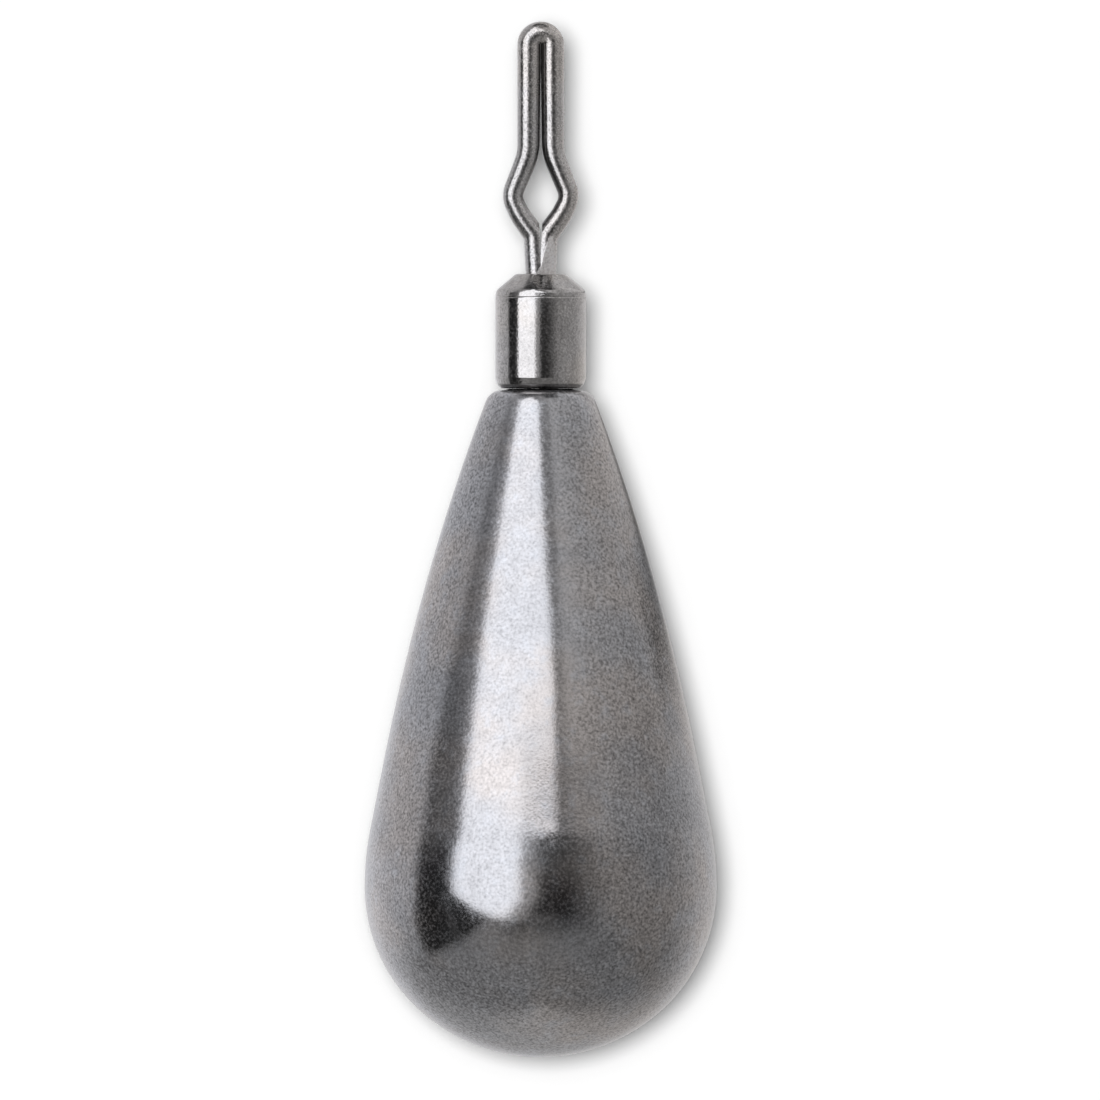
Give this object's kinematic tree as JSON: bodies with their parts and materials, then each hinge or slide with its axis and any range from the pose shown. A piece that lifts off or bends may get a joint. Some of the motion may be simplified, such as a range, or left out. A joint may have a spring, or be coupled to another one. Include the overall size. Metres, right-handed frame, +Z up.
{
  "type": "fishing sinker",
  "caption": "Teardrop fishing sinker of dark metal that hangs from a swivel barrel, with a bent-wire line clip whose slot pinches the line above a diamond eye.",
  "frame": {"origin": "middle of the clip's eye, where the line goes through", "axes": "+Z up along the hanging axis, +Y through the eye, +X across the clip"},
  "size_m": [0.0098, 0.0098, 0.0286],
  "materials": {
    "clip_wire": "drawn wire with a dark nickel sheen",
    "barrel_metal": "turned and tumbled, dark nickel",
    "pin_steel": "plain turned steel",
    "weight_metal": "tumbled sintered metal with a fine grain and a soft polish",
    "bond_resin": "cured adhesive"
  },
  "bodies": {
    "clip": {"line_clip": "clip_wire"},
    "barrel": {"swivel_barrel": "barrel_metal"},
    "sinker": {"weight_body": "weight_metal", "anchor_pin": "pin_steel", "epoxy_bond": "bond_resin"}
  },
  "joints": [
    {"name": "clip_swivel", "type": "hinge", "parent": "clip", "child": "barrel", "pos_m": [0, 0, -0.00291], "axis": [0, 0, 1], "continuous": true},
    {"name": "weight_swivel", "type": "hinge", "parent": "barrel", "child": "sinker", "pos_m": [0, 0, -0.00491], "axis": [0, 0, 1], "continuous": true}
  ]
}
